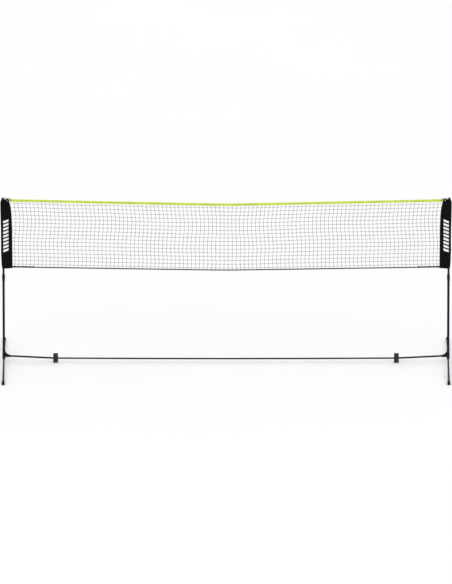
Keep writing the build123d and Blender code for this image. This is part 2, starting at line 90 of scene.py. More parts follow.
# ---------------------------------------------------------------- mesh tools
class Shape:
    """Gathers rings of points and the faces between them, and makes one mesh object."""

    def __init__(self):
        self.points = []
        self.faces = []
        self.count = 0

    def add_points(self, points):
        first = self.count
        self.points.append(np.asarray(points, float).reshape(-1, 3))
        self.count += len(self.points[-1])
        return first

    def grid(self, points, wrap_rows=False, wrap_columns=False):
        """Quads over points[row][column]."""
        points = np.asarray(points, float)
        rows, columns = points.shape[:2]
        first = self.add_points(points)
        for r in range(rows if wrap_rows else rows - 1):
            for c in range(columns if wrap_columns else columns - 1):
                here, below = r * columns, (r + 1) % rows * columns
                beside = (c + 1) % columns
                corners = (here + c, here + beside, below + beside, below + c)
                self.faces.append(tuple(first + k for k in corners))
        return first

    def tube(self, rings):
        """A closed tube through rings[ring][point], with flat ends."""
        rings = np.asarray(rings, float)
        first = self.grid(rings, wrap_columns=True)
        sides = rings.shape[1]
        last = first + (len(rings) - 1) * sides
        self.faces.append(tuple(first + k for k in range(sides)))
        self.faces.append(tuple(last + k for k in reversed(range(sides))))

    def build(self, name):
        mesh = bpy.data.meshes.new(name)
        mesh.from_pydata(np.concatenate(self.points).tolist(), [], self.faces)
        work = bmesh.new()
        work.from_mesh(mesh)
        bmesh.ops.recalc_face_normals(work, faces=work.faces)
        work.to_mesh(mesh)
        work.free()
        mesh.shade_smooth()
        piece = bpy.data.objects.new(name, mesh)
        bpy.context.scene.collection.objects.link(piece)
        return piece


def add_skin(piece, thickness, outward=False):
    """Give a single layer of cloth its thickness, on its inner side unless told otherwise."""
    skin = piece.modifiers.new("cloth", "SOLIDIFY")
    skin.thickness = thickness
    skin.offset = 1 if outward else -1


def circle(sides, radius):
    angles = np.arange(sides) * 2 * math.pi / sides
    return radius * np.stack([np.cos(angles), np.sin(angles)], 1)


def rings_along(line, radius, sides):
    """Round rings square to a line of points."""
    line = np.asarray(line, float)
    along = np.gradient(line, axis=0)
    along /= np.linalg.norm(along, axis=1)[:, None]
    rings = []
    across = np.array([0.0, 1.0, 0.0]) if abs(along[0][1]) < 0.9 else np.array([1.0, 0.0, 0.0])
    radii = np.broadcast_to(radius, len(line))
    for point, way, r in zip(line, along, radii):
        across = across - way * across.dot(way)
        across /= np.linalg.norm(across)
        up = np.cross(way, across)
        ring = circle(sides, r)
        rings.append(point + ring[:, :1] * across + ring[:, 1:] * up)
    return np.array(rings)


def smooth_step(t):
    t = np.clip(t, 0.0, 1.0)
    return t * t * (3 - 2 * t)


def ripple(x, y, z, seed):
    """A soft, repeatable wave between about -1 and 1."""
    return noise.noise(Vector((x + seed * 13.7, y - seed * 5.1, z + seed * 3.3)))


# ---------------------------------------------------------------- lines of the net
def dip(x, end_x, end_z, mid_z, bend):
    """The height of a line hung from its two ends with a load at its middle."""
    x = np.abs(x)
    full = math.sqrt(end_x ** 2 + bend ** 2) - bend
    return mid_z + (end_z - mid_z) * (np.sqrt(x ** 2 + bend ** 2) - bend) / full


def tape_z(x):
    return dip(x, TAPE_END_X, TAPE_END_Z, TAPE_MID_Z, TAPE_BEND)


def cord_z(x):
    return dip(x, CORD_END_X, CORD_END_Z, CORD_MID_Z, CORD_BEND)


# The sleeve's two edges from the front, as (height, inboard distance) at a few levels
SLEEVE_OUTER = (
    (0.903, -0.0128), (0.912, -0.0145), (0.94, -0.0175), (0.98, -0.0195), (1.075, -0.0225), (1.17, -0.0215),
    (1.267, -0.0225), (1.363, -0.0245), (1.46, -0.0265), (1.525, -0.0275), (1.545, -0.0245), (1.555, -0.0185),
    (1.573, -0.015),
)
SLEEVE_INNER = (
    (0.903, 0.082), (0.98, 0.0815), (1.17, 0.08), (1.267, 0.0802), (1.363, 0.0768), (1.41, 0.0745),
    (1.46, 0.0705), (1.497, 0.0645), (1.525, 0.058), (1.545, 0.0535), (1.56, 0.051), (1.573, 0.048),
)


def edge_at(edge, z):
    levels, values = zip(*edge)
    return np.interp(z, levels, values)


# ---------------------------------------------------------------- materials
def new_material(name):
    material = bpy.data.materials.new(name)
    material.use_nodes = True
    nodes, links = material.node_tree.nodes, material.node_tree.links
    shader = nodes["Principled BSDF"]
    place = nodes.new("ShaderNodeTexCoord").outputs["Object"]
    return material, nodes, links, shader, place


def noise_node(nodes, links, place, scale, detail=3.0):
    node = nodes.new("ShaderNodeTexNoise")
    node.inputs["Scale"].default_value = scale
    node.inputs["Detail"].default_value = detail
    links.new(place, node.inputs["Vector"])
    return node.outputs["Fac"]


def spread_node(nodes, links, value, low, high):
    """A value from 0 to 1, stretched about its middle and set between low and high."""
    node = nodes.new("ShaderNodeMapRange")
    node.inputs["From Min"].default_value = 0.3
    node.inputs["From Max"].default_value = 0.7
    node.inputs["To Min"].default_value = low
    node.inputs["To Max"].default_value = high
    links.new(value, node.inputs["Value"])
    return node.outputs["Result"]


def blend_node(nodes, links, value, first, second):
    node = nodes.new("ShaderNodeMix")
    node.data_type = "RGBA"
    links.new(value, node.inputs["Factor"])
    for socket, colour in zip((node.inputs[6], node.inputs[7]), (first, second)):
        if isinstance(colour, tuple):
            socket.default_value = (*colour, 1.0)
        else:
            links.new(colour, socket)
    return node.outputs[2]


def bump_node(nodes, links, height, distance, normal=None):
    node = nodes.new("ShaderNodeBump")
    node.inputs["Distance"].default_value = distance
    node.inputs["Strength"].default_value = 1.0
    links.new(height, node.inputs["Height"])
    if normal is not None:
        links.new(normal, node.inputs["Normal"])
    return node.outputs["Normal"]


WAVE_TURN = 20  # Blender's wave texture turns through 20 radians in one unit at a scale of 1


def bands(nodes, links, place, direction, pitch):
    """Slightly uneven bands across one axis, one every pitch."""
    node = nodes.new("ShaderNodeTexWave")
    node.bands_direction = direction
    node.inputs["Scale"].default_value = 2 * math.pi / WAVE_TURN / pitch
    node.inputs["Distortion"].default_value = 0.4
    node.inputs["Detail"].default_value = 1.0
    links.new(place, node.inputs["Vector"])
    return node.outputs["Fac"]


def plain_finish(name, dark, light, rough, patch, grain, relief, metallic=0.0, specular=0.5):
    """A hard finish: colour and roughness that drift in patches, over a fine relief. rough is
    the range of roughness, patch and grain are noise scales, and relief is a height."""
    material, nodes, links, shader, place = new_material(name)
    drift = noise_node(nodes, links, place, patch)
    colour = blend_node(nodes, links, spread_node(nodes, links, drift, 0, 1), dark, light)
    links.new(colour, shader.inputs["Base Color"])
    wear = noise_node(nodes, links, place, patch * 3.1, detail=5)
    links.new(spread_node(nodes, links, wear, *rough), shader.inputs["Roughness"])
    fine = noise_node(nodes, links, place, grain, detail=2)
    links.new(bump_node(nodes, links, fine, relief), shader.inputs["Normal"])
    shader.inputs["Metallic"].default_value = metallic
    shader.inputs["Specular IOR Level"].default_value = specular
    return material


def woven_finish(
    name, dark, light, pitch, relief, rough, sheen, directions=("X", "Z"), fade=None, specular=0.3,
):
    """A woven cloth: two crossing sets of threads, with fuzz and soft changes of shade. fade is
    a third colour, which shows through in worn patches."""
    material, nodes, links, shader, place = new_material(name)
    warp = bands(nodes, links, place, directions[0], pitch)
    weft = bands(nodes, links, place, directions[1], pitch * 1.1)
    over = nodes.new("ShaderNodeMath")
    over.operation = "MULTIPLY"
    links.new(warp, over.inputs[0])
    links.new(weft, over.inputs[1])
    drift = noise_node(nodes, links, place, 9.0, detail=4)
    shade = nodes.new("ShaderNodeMath")
    shade.operation = "MULTIPLY_ADD"
    links.new(over.outputs[0], shade.inputs[0])
    shade.inputs[1].default_value = 0.55
    links.new(spread_node(nodes, links, drift, 0.0, 0.45), shade.inputs[2])
    colour = blend_node(nodes, links, shade.outputs[0], dark, light)
    if fade:
        worn = noise_node(nodes, links, place, 30.0, detail=5)
        colour = blend_node(nodes, links, spread_node(nodes, links, worn, 0.0, 0.35), colour, fade)
    links.new(colour, shader.inputs["Base Color"])
    fuzz = noise_node(nodes, links, place, 1.7 / pitch, detail=2)
    first = bump_node(nodes, links, over.outputs[0], relief)
    links.new(bump_node(nodes, links, fuzz, relief * 0.5, normal=first), shader.inputs["Normal"])
    links.new(spread_node(nodes, links, drift, *rough), shader.inputs["Roughness"])
    shader.inputs["Sheen Weight"].default_value = sheen
    shader.inputs["Specular IOR Level"].default_value = specular
    shader.inputs["Sheen Roughness"].default_value = 0.5
    return material


MATERIALS = {
    "painted_tube": plain_finish(
        "powder_coat_black", (0.0035, 0.0035, 0.004), (0.008, 0.008, 0.0085), (0.34, 0.5), 14, 900, 0.00012,
        specular=0.14,
    ),
    "moulded_black": plain_finish(
        "moulded_nylon_black", (0.004, 0.004, 0.0045), (0.01, 0.01, 0.011), (0.42, 0.6), 40, 1500, 0.0001,
        specular=0.15,
    ),
    "moulded_grey": plain_finish(
        "moulded_plastic_grey", (0.018, 0.018, 0.019), (0.034, 0.034, 0.0355), (0.3, 0.48), 45, 1300, 0.0001,
        specular=0.22,
    ),
    "nylon": plain_finish(
        "natural_nylon", (0.46, 0.45, 0.41), (0.6, 0.59, 0.54), (0.35, 0.5), 60, 1200, 0.00008,
    ),
    "rubber": plain_finish(
        "cap_rubber", (0.003, 0.003, 0.003), (0.009, 0.0088, 0.0085), (0.65, 0.9), 55, 800, 0.0002,
        specular=0.12,
    ),
    "screw_steel": plain_finish(
        "black_zinc", (0.04, 0.04, 0.043), (0.1, 0.1, 0.105), (0.28, 0.45), 120, 1800, 0.00005, metallic=1.0,
    ),
    "ferrule_steel": plain_finish(
        "zinc_steel", (0.42, 0.42, 0.44), (0.6, 0.6, 0.62), (0.25, 0.45), 70, 1500, 0.00005, metallic=1.0,
    ),
    "eyelet_metal": plain_finish(
        "nickel_plate", (0.62, 0.61, 0.58), (0.8, 0.79, 0.76), (0.12, 0.3), 150, 1500, 0.00003, metallic=1.0,
    ),
    "elastic_cord": woven_finish(
        "elastic_braid", (0.3, 0.3, 0.3), (0.6, 0.6, 0.6), 0.0012, 0.0002, (0.7, 0.85), 0.2,
    ),
    "sleeve_cloth": woven_finish(
        "polyester_black", (0.0006, 0.0006, 0.0008), (0.0045, 0.0045, 0.0052), 0.0011, 0.00022, (0.42, 0.62),
        0.004, specular=0.07,
    ),
    "webbing": woven_finish(
        "webbing_grey", (0.36, 0.36, 0.4), (0.66, 0.66, 0.7), 0.0016, 0.0004, (0.7, 0.9), 0.2,
    ),
    "lime_tape": woven_finish(
        "lime_webbing", (0.38, 0.48, 0.03), (0.67, 0.81, 0.085), 0.0015, 0.0003, (0.65, 0.85), 0.1,
        fade=(0.8, 0.92, 0.22),
    ),
    "mesh_twine": woven_finish(
        "twine_black", (0.002, 0.002, 0.0025), (0.009, 0.0088, 0.01), 0.0012, 0.0002, (0.6, 0.85), 0.01,
        directions=("DIAGONAL", "Z"), specular=0.1,
    ),
    "black_cord": woven_finish(
        "cord_black", (0.002, 0.002, 0.0022), (0.008, 0.008, 0.009), 0.0016, 0.0003, (0.6, 0.85), 0.01,
        directions=("DIAGONAL", "X"), specular=0.08,
    ),
}
PRINT_WHITE = woven_finish(
    "print_white", (0.72, 0.72, 0.72), (0.93, 0.93, 0.93), 0.0011, 0.00012, (0.5, 0.7), 0.0,
)
THREAD_LIME = woven_finish(
    "thread_lime", (0.3, 0.45, 0.03), (0.5, 0.7, 0.06), 0.0006, 0.0001, (0.6, 0.8), 0.2,
)
THREAD_BLACK = woven_finish(
    "thread_black", (0.008, 0.008, 0.009), (0.022, 0.022, 0.024), 0.0006, 0.0001, (0.5, 0.7), 0.05,
)


def dress(piece, material, body="net"):
    """Give a new piece its material and the body that it moves with."""
    piece.data.materials.clear()
    piece.data.materials.append(material)
    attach(piece, body)
    return piece


def dress_cad():
    slots = {row["node"]: row["material_slot"] for row in frame["record"]["subparts"]}
    for node, piece in frame["nodes"].items():
        piece.data.materials.clear()
        piece.data.materials.append(MATERIALS[slots[node]])


# ---------------------------------------------------------------- mesh of the net
# How far the upright strands lean towards the middle, as (share of the way down, distance)
LEAN = (
    (0.0, -0.011), (0.13, -0.001), (0.28, 0.009), (0.43, 0.006), (0.55, -0.002), (0.68, -0.006),
    (0.88, 0.001), (1.0, -0.006),
)
LEAN_STARTS_X = 0.15  # the lean grows from nothing at the middle of the net to all of it here
END_CROWDING = 0.008  # how much closer to the middle the last columns stand
KNOT_R = 1.8 * TWINE_R
KNOT_LEAN = 0.8
SEAM_OVERLAP = 0.002  # how far the level strands run on under the sleeve's edge


def net_point(column, depth):
    """A point of the mesh, from its column's number and its depth below the tape's middle line."""
    x = column * MESH_PITCH * (1 - END_CROWDING * (column / LAST_COLUMN) ** 6)
    share = depth / float(tape_z(x) - cord_z(x))
    lean = float(np.interp(share, *zip(*LEAN)))
    side = -1 if x < 0 else 1
    x -= side * lean * min(1.0, abs(x) / LEAN_STARTS_X)
    free = min(1.0, depth / FIRST_ROW, (1 - share) * 12)
    x += free * (0.002 * ripple(x * 2.1, 0, depth * 3.0, 1) + 0.0022 * ripple(x * 17, 0, depth * 19, 2))
    y = free * (0.012 * ripple(x * 2.2, 0, depth * 2.5, 3) + 0.0015 * ripple(x * 20, 0, depth * 20, 4))
    sway = 0.002 * ripple(x * 1.9, 0, depth * 4.0, 5) + 0.0016 * ripple(x * 19, 0, depth * 17, 6)
    return np.array([x, y, float(tape_z(x) - depth + free * sway)])


def seam_point(side, depth):
    """A point of the sleeve's sewn edge, where a line of the mesh ends."""
    level = TAPE_END_Z - depth
    x = side * (POST_X - float(edge_at(SLEEVE_INNER, level)) + SEAM_OVERLAP)
    return np.array([x, 0.0, float(tape_z(x)) - depth])


def column_numbers():
    return np.arange(-LAST_COLUMN, LAST_COLUMN + 0.5)


def row_depths():
    return FIRST_ROW + ROW_PITCH * np.arange(ROWS)


def net_mesh():
    """Every twine of the mesh as its own round strand, and a wrapped knot at each crossing."""
    shape = Shape()
    across = circle(5, TWINE_R)
    depths = row_depths()
    under_tape = [0.006, 0.019]  # depths at which an upright strand leaves the tape
    halves = np.sort(np.concatenate([under_tape, depths, depths[1:] - ROW_PITCH / 2]))
    for column in column_numbers():
        foot = net_point(column, depths[-1])
        line = [net_point(column, depth) for depth in halves]
        line.append(np.array([foot[0], 0.0, float(cord_z(foot[0]))]))
        rings = np.array(line)[:, None] + np.pad(across, ((0, 0), (0, 1)))[None]
        shape.tube(rings)
    places = np.arange(-LAST_COLUMN, LAST_COLUMN + 0.25, 0.5)
    for depth in depths:
        line = [seam_point(-1, depth), *(net_point(column, depth) for column in places), seam_point(1, depth)]
        rings = np.array(line)[:, None] + np.pad(across, ((0, 0), (1, 0)))[None]
        shape.tube(rings)
    for column in column_numbers():
        for number, depth in enumerate(depths):
            knot(shape, net_point(column, depth), 1 if (column + number) % 2 < 1 else -1)
    piece = dress(shape.build("net_mesh"), MATERIALS["mesh_twine"])
    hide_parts("net_panel")
    return piece


def knot(shape, centre, hand):
    """A turn of twine round a crossing, which leans one way or the other."""
    wrap = circle(8, KNOT_R)
    section = circle(4, TWINE_R)
    lean = KNOT_LEAN * hand
    rings = []
    for out_x, out_y in wrap:
        outward = np.array([out_x, out_y, 0]) / KNOT_R
        middle = centre + np.array([out_x, out_y, out_x * lean])
        rings.append(middle + section[:, :1] * outward + section[:, 1:] * np.array([0, 0, 1]))
    shape.grid(rings, wrap_rows=True, wrap_columns=True)


# ---------------------------------------------------------------- top tape
TAPE_RINGS = 640
TAPE_CLOTH = 0.0007
TAPE_FACE_Y = 0.0027
TAPE_STITCH_HEIGHTS = (-0.0095, -0.0005)  # from the tape's middle line
TAPE_STITCH = (0.0034, 0.0026, 0.0003)  # a stitch's length, the gap to the next one and its radius


def tape_section():
    """Half of the folded tape from its lower edge over the rope, as (depth, height) points."""
    rope_z, fold_deep, fold_tall = 0.0068, 0.0036, 0.004
    turn = np.linspace(-0.35, math.pi / 2, 8)
    fold = [(fold_deep * math.cos(a), rope_z + fold_tall * math.sin(a)) for a in turn]
    flat = [(0.0022, -TAPE_TALL / 2), (0.0027, -0.0119), (0.0028, -0.008), (0.0024, -0.004), (0.0026, 0.001)]
    return flat + fold


def tape_cloth(sewn_on):
    """The tape as one skin, folded over the rope, with a slight pucker and twist along it."""
    half = tape_section()
    outline = np.array(half + [(-y, z) for y, z in reversed(half[:-1])])
    xs = np.linspace(-TAPE_END_X, TAPE_END_X, TAPE_RINGS)
    rings = []
    for x in xs:
        pucker = 1 + 0.1 * ripple(x * 40, 0, 0, 1)
        twist = 0.0016 * ripple(x * 3.0, 0, 0, 2)
        lower = np.clip(-outline[:, 1] / TAPE_TALL, 0, 0.5)
        y = outline[:, 0] * pucker + twist * lower + 0.0012 * lower * ripple(x * 22, 0, 1, 3)
        z = tape_z(x) + outline[:, 1] + 0.0006 * ripple(x * 16, 0, 2, 4)
        rings.append(np.stack([np.full(len(outline), x), y, z], 1))
    shape = Shape()
    shape.grid(rings)
    piece = dress(shape.build("top_tape_cloth"), MATERIALS["lime_tape"])
    add_skin(piece, TAPE_CLOTH)
    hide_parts("top_tape")
    return piece


def stitch_row(shape, line, long, gap, radius):
    """Short raised stitches of thread along a line of points."""
    line = np.asarray(line, float)
    run = np.concatenate([[0], np.cumsum(np.linalg.norm(np.diff(line, axis=0), axis=1))])
    for start in np.arange(gap, run[-1] - long, long + gap):
        at = start + np.array([0.0, 0.25, 0.75, 1.0]) * long
        points = np.stack([np.interp(at, run, line[:, k]) for k in range(3)], 1)
        shape.tube(rings_along(points, radius * np.array([0.5, 1, 1, 0.5]), 4))


def tape_stitching():
    """Two rows of stitches along each face of the tape, below the rope and above the lower edge."""
    shape = Shape()
    xs = np.linspace(-TAPE_END_X + 0.004, TAPE_END_X - 0.004, TAPE_RINGS)
    for face in (-1, 1):
        for height in TAPE_STITCH_HEIGHTS:
            line = [(x, face * TAPE_FACE_Y, tape_z(x) + height) for x in xs]
            stitch_row(shape, line, *TAPE_STITCH)
    return dress(shape.build("top_tape_stitches"), THREAD_LIME)


# ---------------------------------------------------------------- bottom cord
BRAID_STRANDS = 3  # in each direction
BRAID_LAY = 0.012  # how far along a strand comes in a third of a turn
LOOP_LEAN = 0.15


def bottom_cord():
    """A braided cord: its surface carries the diamond pattern of the braid."""
    sides = 16
    step = 0.0022
    xs = np.arange(-CORD_END_X, CORD_END_X + step / 2, step)
    angles = np.arange(sides) * 2 * math.pi / sides
    rings = []
    for x in xs:
        left_lay = np.cos(BRAID_STRANDS * angles + x * 2 * math.pi / BRAID_LAY)
        right_lay = np.cos(BRAID_STRANDS * angles - x * 2 * math.pi / BRAID_LAY)
        radius = CORD_R * (1.05 + 0.06 * np.maximum(left_lay, right_lay))
        y = radius * np.cos(angles)
        z = cord_z(x) + radius * np.sin(angles)
        rings.append(np.stack([np.full(sides, x), y, z], 1))
    shape = Shape()
    shape.tube(rings)
    piece = dress(shape.build("bottom_cord_braid"), MATERIALS["black_cord"])
    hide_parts("bottom_cord")
    return piece


def cord_loops():
    """The twine's turns round the bottom cord, one at each upright strand."""
    shape = Shape()
    turn = circle(14, CORD_R + 0.7 * TWINE_R)
    section = circle(5, TWINE_R)
    for column in column_numbers():
        foot = net_point(column, row_depths()[-1])
        centre = np.array([foot[0], 0.0, float(cord_z(foot[0]))])
        rings = []
        for out_y, out_z in turn:
            outward = np.array([0, out_y, out_z]) / np.hypot(out_y, out_z)
            middle = centre + np.array([LOOP_LEAN * out_y, out_y, out_z])
            rings.append(middle + section[:, :1] * outward + section[:, 1:] * np.array([1, 0, 0]))
        shape.grid(rings, wrap_rows=True, wrap_columns=True)
    return dress(shape.build("bottom_cord_loops"), MATERIALS["mesh_twine"])


TAIL_LONG = 0.2
TAIL_R = 0.0028
WHIPPING_R = 0.0008
WHIPPING_TURNS = 4
WHIPPING_ADVANCE = 0.0018  # along the cord in one turn


def cord_tail(name, side):
    """The bottom cord's end, laid back along it from the sleeve and whipped down."""
    start, end = side * (CORD_END_X - 0.004), side * (CORD_END_X - TAIL_LONG)
    xs = np.linspace(start, end, 60)
    rise = CORD_R + 0.6 * TAIL_R
    line = []
    for x in xs:
        z = float(cord_z(x)) + rise + 0.0004 * ripple(x * 25, 0, 0, 5)
        line.append((x, 0.0006 * ripple(x * 30, 0, 0, 4), z))
    shape = Shape()
    shape.tube(rings_along(line, TAIL_R, 10))
    deep, tall = CORD_R + 0.0011, CORD_R + TAIL_R + 0.0012
    for x in (start - side * 0.012, (start + end) / 2, end + side * 0.01):
        turns = []
        for a in np.linspace(0, WHIPPING_TURNS * 2 * math.pi, 64):
            z = float(cord_z(x)) + TAIL_R + tall * math.sin(a)
            turns.append((x + WHIPPING_ADVANCE * a / (2 * math.pi), deep * math.cos(a), z))
        shape.tube(rings_along(turns, WHIPPING_R, 6))
    return dress(shape.build(f"{name}_cord_tail"), MATERIALS["black_cord"])


# ---------------------------------------------------------------- sleeves
SLEEVE_HALF_DEEP = 0.0155
TOP_SLOPE = 0.13  # the closed top's fall towards the net
CLOTH = 0.0008
HEM = 0.018
HEM_LIFT = 0.0005
TOP_ROOM = 0.0015  # between the cloth's top row and the box of the sleeve
SLEEVE_STITCH = (0.0036, 0.0024, 0.00035)  # as for the tape's
SEAM_SHARES = (0.93, 0.975)
HEM_STITCH_UP = 0.014  # from the sleeve's lower edge
THREAD_LIFT = 0.0002
SEWN_HALF_DEEP = 0.0011  # the flat edge beyond the seam
POST_ROOM_R = 0.0124  # the lower post slides up inside the sleeve when the net is lowered


def pocket_half_depth(share):
    """Half the pocket's depth across its width: a round nose over the post, then flat flanks.
    The curve is that of a symmetrical aerofoil, which has its greatest half depth at 0.1."""
    s = np.clip(share, 0, 1)
    foil = 0.2969 * np.sqrt(s) - 0.126 * s - 0.3516 * s ** 2 + 0.2843 * s ** 3 - 0.1015 * s ** 4
    return SLEEVE_HALF_DEEP * foil / 0.1


def crease(x, z, start, end, wide, high):
    """The height of a soft fold in the cloth that runs from one point to another and fades out."""
    along = np.array(end) - np.array(start)
    span = np.dot(along, along)
    t = ((x - start[0]) * along[0] + (z - start[1]) * along[1]) / span
    near = np.hypot(x - start[0] - np.clip(t, 0, 1) * along[0], z - start[1] - np.clip(t, 0, 1) * along[1])
    spread = wide * (0.5 + np.clip(t, 0, 1))
    return high * math.exp(-(near / spread) ** 2) * (1 - float(np.clip(t, 0, 1)) ** 2)


# Folds that pull from the tape's corner, from the bottom cord's corner and across the pocket
CREASES = (
    ((0.045, 1.54), (-0.01, 1.36), 0.0075, 0.0034), ((0.047, 1.54), (0.03, 1.33), 0.006, -0.0024),
    ((0.05, 1.53), (0.055, 1.3), 0.006, 0.0026), ((0.04, 1.545), (-0.018, 1.47), 0.006, -0.0026),
    ((0.078, 0.93), (0.01, 1.1), 0.007, 0.003), ((0.078, 0.93), (0.05, 1.15), 0.006, -0.002),
    ((0.07, 0.925), (-0.01, 0.99), 0.006, 0.0024), ((0.0, 1.32), (0.07, 1.22), 0.009, 0.0016),
    ((0.07, 1.2), (-0.01, 1.12), 0.01, -0.0014), ((0.02, 1.28), (0.025, 1.0), 0.012, 0.0014),
)


def sleeve_point(share, level, face, lift=0.0):
    """A point of the left sleeve's cloth, inboard of its post. share runs from its outer edge to
    its seam, level from hem to top, and face is -1 in front and 1 behind."""
    guide = SLEEVE_LOW_Z + (SLEEVE_TOP_Z - SLEEVE_LOW_Z) * level
    outer, inner = float(edge_at(SLEEVE_OUTER, guide)), float(edge_at(SLEEVE_INNER, guide))
    x = outer + (inner - outer) * share
    top = SLEEVE_TOP_Z - TOP_ROOM - TOP_SLOPE * max(0.0, x + 0.006) * smooth_step((level - 0.9) / 0.1)
    z = SLEEVE_LOW_Z + (top - SLEEVE_LOW_Z) * level
    deep = max(float(pocket_half_depth(share)), SEWN_HALF_DEEP * min(1.0, share * 20))
    body = math.sin(math.pi * min(1.0, share * 1.05)) if share < 0.95 else 0.2
    folds = sum(crease(x, z + 0.02 * (face > 0), *fold) for fold in CREASES)
    folds += 0.0022 * ripple(x * 11, face, z * 7, 3) + 0.0012 * ripple(x * 30, face, z * 16, 5)
    folds += 0.0005 * ripple(x * 90, face, z * 60, 9)
    deep += body * folds
    deep = max(deep, math.sqrt(max(0.0, POST_ROOM_R ** 2 - x ** 2)))
    deep += lift + HEM_LIFT * (z < SLEEVE_LOW_Z + HEM)
    return np.array([x, face * deep, z])


def share_at(x, level):
    """The share of the sleeve's width at an inboard distance."""
    guide = SLEEVE_LOW_Z + (SLEEVE_TOP_Z - SLEEVE_LOW_Z) * level
    outer, inner = float(edge_at(SLEEVE_OUTER, guide)), float(edge_at(SLEEVE_INNER, guide))
    return (x - outer) / (inner - outer)


def world(point, side):
    """A point inboard of the post, on either side."""
    return np.array([side * (POST_X - point[0]), point[1], point[2]])


SHARES = 0.5 - 0.5 * np.cos(np.linspace(0, math.pi, 29))
LEVELS = np.concatenate([
    np.linspace(0, 0.03, 6)[:-1], np.linspace(0.03, 0.86, 84)[:-1], np.linspace(0.86, 1.0, 24),
])
# The rings that close the sleeve's top, as (share of the last ring's depth, rise above it)
TOP_RINGS = ((0.8, 0.0012), (0.4, 0.0019), (0.05, 0.0021))


def sleeve(name, side):
    """The pocket's cloth as one skin: front, outer fold, back and the closed top."""
    shape = Shape()
    rings = []
    for level in LEVELS:
        front = [sleeve_point(share, level, -1) for share in SHARES[::-1]]
        back = [sleeve_point(share, level, 1) for share in SHARES[1:]]
        rings.append([world(point, side) for point in front + back])
    for shrink, rise in TOP_RINGS:
        rings.append([p * np.array([1, shrink, 1]) + np.array([0, 0, rise]) for p in rings[len(LEVELS) - 1]])
    shape.grid(rings, wrap_columns=True)
    piece = shape.build(f"{name}_sleeve_cloth")
    add_skin(piece, CLOTH)
    dress(piece, MATERIALS["sleeve_cloth"])
    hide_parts(f"{name}_sleeve")
    return piece


def sleeve_stitching(name, side):
    """Two rows of stitches along the seam beside the mesh, and one along the hem."""
    shape = Shape()
    for face in (-1, 1):
        for share in SEAM_SHARES:
            levels = np.linspace(0.01, 0.97, 160)
            seam = [world(sleeve_point(share, level, face, THREAD_LIFT), side) for level in levels]
            stitch_row(shape, seam, *SLEEVE_STITCH)
        hem_level = HEM_STITCH_UP / (SLEEVE_TOP_Z - SLEEVE_LOW_Z)
        shares = np.linspace(0.02, SEAM_SHARES[0], 40)
        hem = [world(sleeve_point(share, hem_level, face, THREAD_LIFT), side) for share in shares]
        stitch_row(shape, hem, *SLEEVE_STITCH)
    return dress(shape.build(f"{name}_sleeve_stitches"), THREAD_BLACK)


# The print on each face of the sleeve: a run of equal slanted bars
PRINT_TOP_Z = 1.37
PRINT_LOW_Z = 1.06
PRINT_WIDE = (-0.001, 0.046)  # inboard distances
PRINT_BARS = 9
PRINT_INK = 0.6  # the bars' share of each step
PRINT_SLANT = 0.016
PRINT_LIFT = 0.00035


def print_patch(shape, corners, side, face):
    """A quadrilateral of ink laid on the cloth, from four (inboard, height) corners."""
    steps_across, steps_up = 14, 8
    rows = []
    for v in np.linspace(0, 1, steps_up):
        row = []
        for u in np.linspace(0, 1, steps_across):
            low = np.array(corners[0]) * (1 - u) + np.array(corners[1]) * u
            high = np.array(corners[3]) * (1 - u) + np.array(corners[2]) * u
            x, z = low * (1 - v) + high * v
            level = (z - SLEEVE_LOW_Z) / (SLEEVE_TOP_Z - TOP_ROOM - SLEEVE_LOW_Z)
            row.append(world(sleeve_point(share_at(x, level), level, face, PRINT_LIFT), side))
        rows.append(row)
    shape.grid(rows)


def sleeve_print(name, side):
    """The run of bars on both faces of a sleeve."""
    shape = Shape()
    pitch = (PRINT_TOP_Z - PRINT_LOW_Z) / PRINT_BARS
    left, right = PRINT_WIDE
    for face in (-1, 1):
        for low in PRINT_LOW_Z + pitch * np.arange(PRINT_BARS):
            high = low + pitch * PRINT_INK
            corners = ((left, low), (right, low + PRINT_SLANT), (right, high + PRINT_SLANT), (left, high))
            print_patch(shape, corners, side, face)
    piece = shape.build(f"{name}_sleeve_print")
    return dress(piece, PRINT_WHITE)


PATCH_WIDE = (0.004, 0.032)  # inboard distances
PATCH_DROP = 0.003  # from the sleeve's top to the patch's lower edge
PATCH_RISE = 0.0034
WEBBING = 0.0012


def pocket_patch(name, side):
    """Grey webbing folded over the pocket's top, sewn down in front and behind."""
    shape = Shape()
    low_level = 1 - PATCH_DROP / (SLEEVE_TOP_Z - SLEEVE_LOW_Z)
    rows = []
    for x in np.linspace(*PATCH_WIDE, 12):
        share = share_at(x, 1.0)
        flank = [sleeve_point(share, level, -1, CLOTH) for level in np.linspace(low_level, 1.0, 5)]
        top = flank[-1]
        over = [
            np.array([top[0], top[1] * math.cos(a), top[2] + PATCH_RISE * math.sin(a) ** 0.5])
            for a in np.linspace(0, math.pi, 15)[1:-1]
        ]
        back = [p * np.array([1, -1, 1]) for p in reversed(flank)]
        rows.append([world(p, side) for p in flank + over + back])
    shape.grid(rows)
    piece = shape.build(f"{name}_pocket_webbing")
    add_skin(piece, WEBBING, outward=True)
    dress(piece, MATERIALS["webbing"])
    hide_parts(f"{name}_pocket_patch")
    return piece


LASHING_R = 0.0012
LASHING_RISE = 0.0025  # the lashing's run above the tape's top edge
LASHING_DEEP = 0.0044  # half the lashing's depth round the tape
LASHING_APART = 0.0014  # each of its two cords from the tape's middle plane
LASHING_NARROW = 0.55  # the turns' depth over the tape's top edge, as a share of the full depth


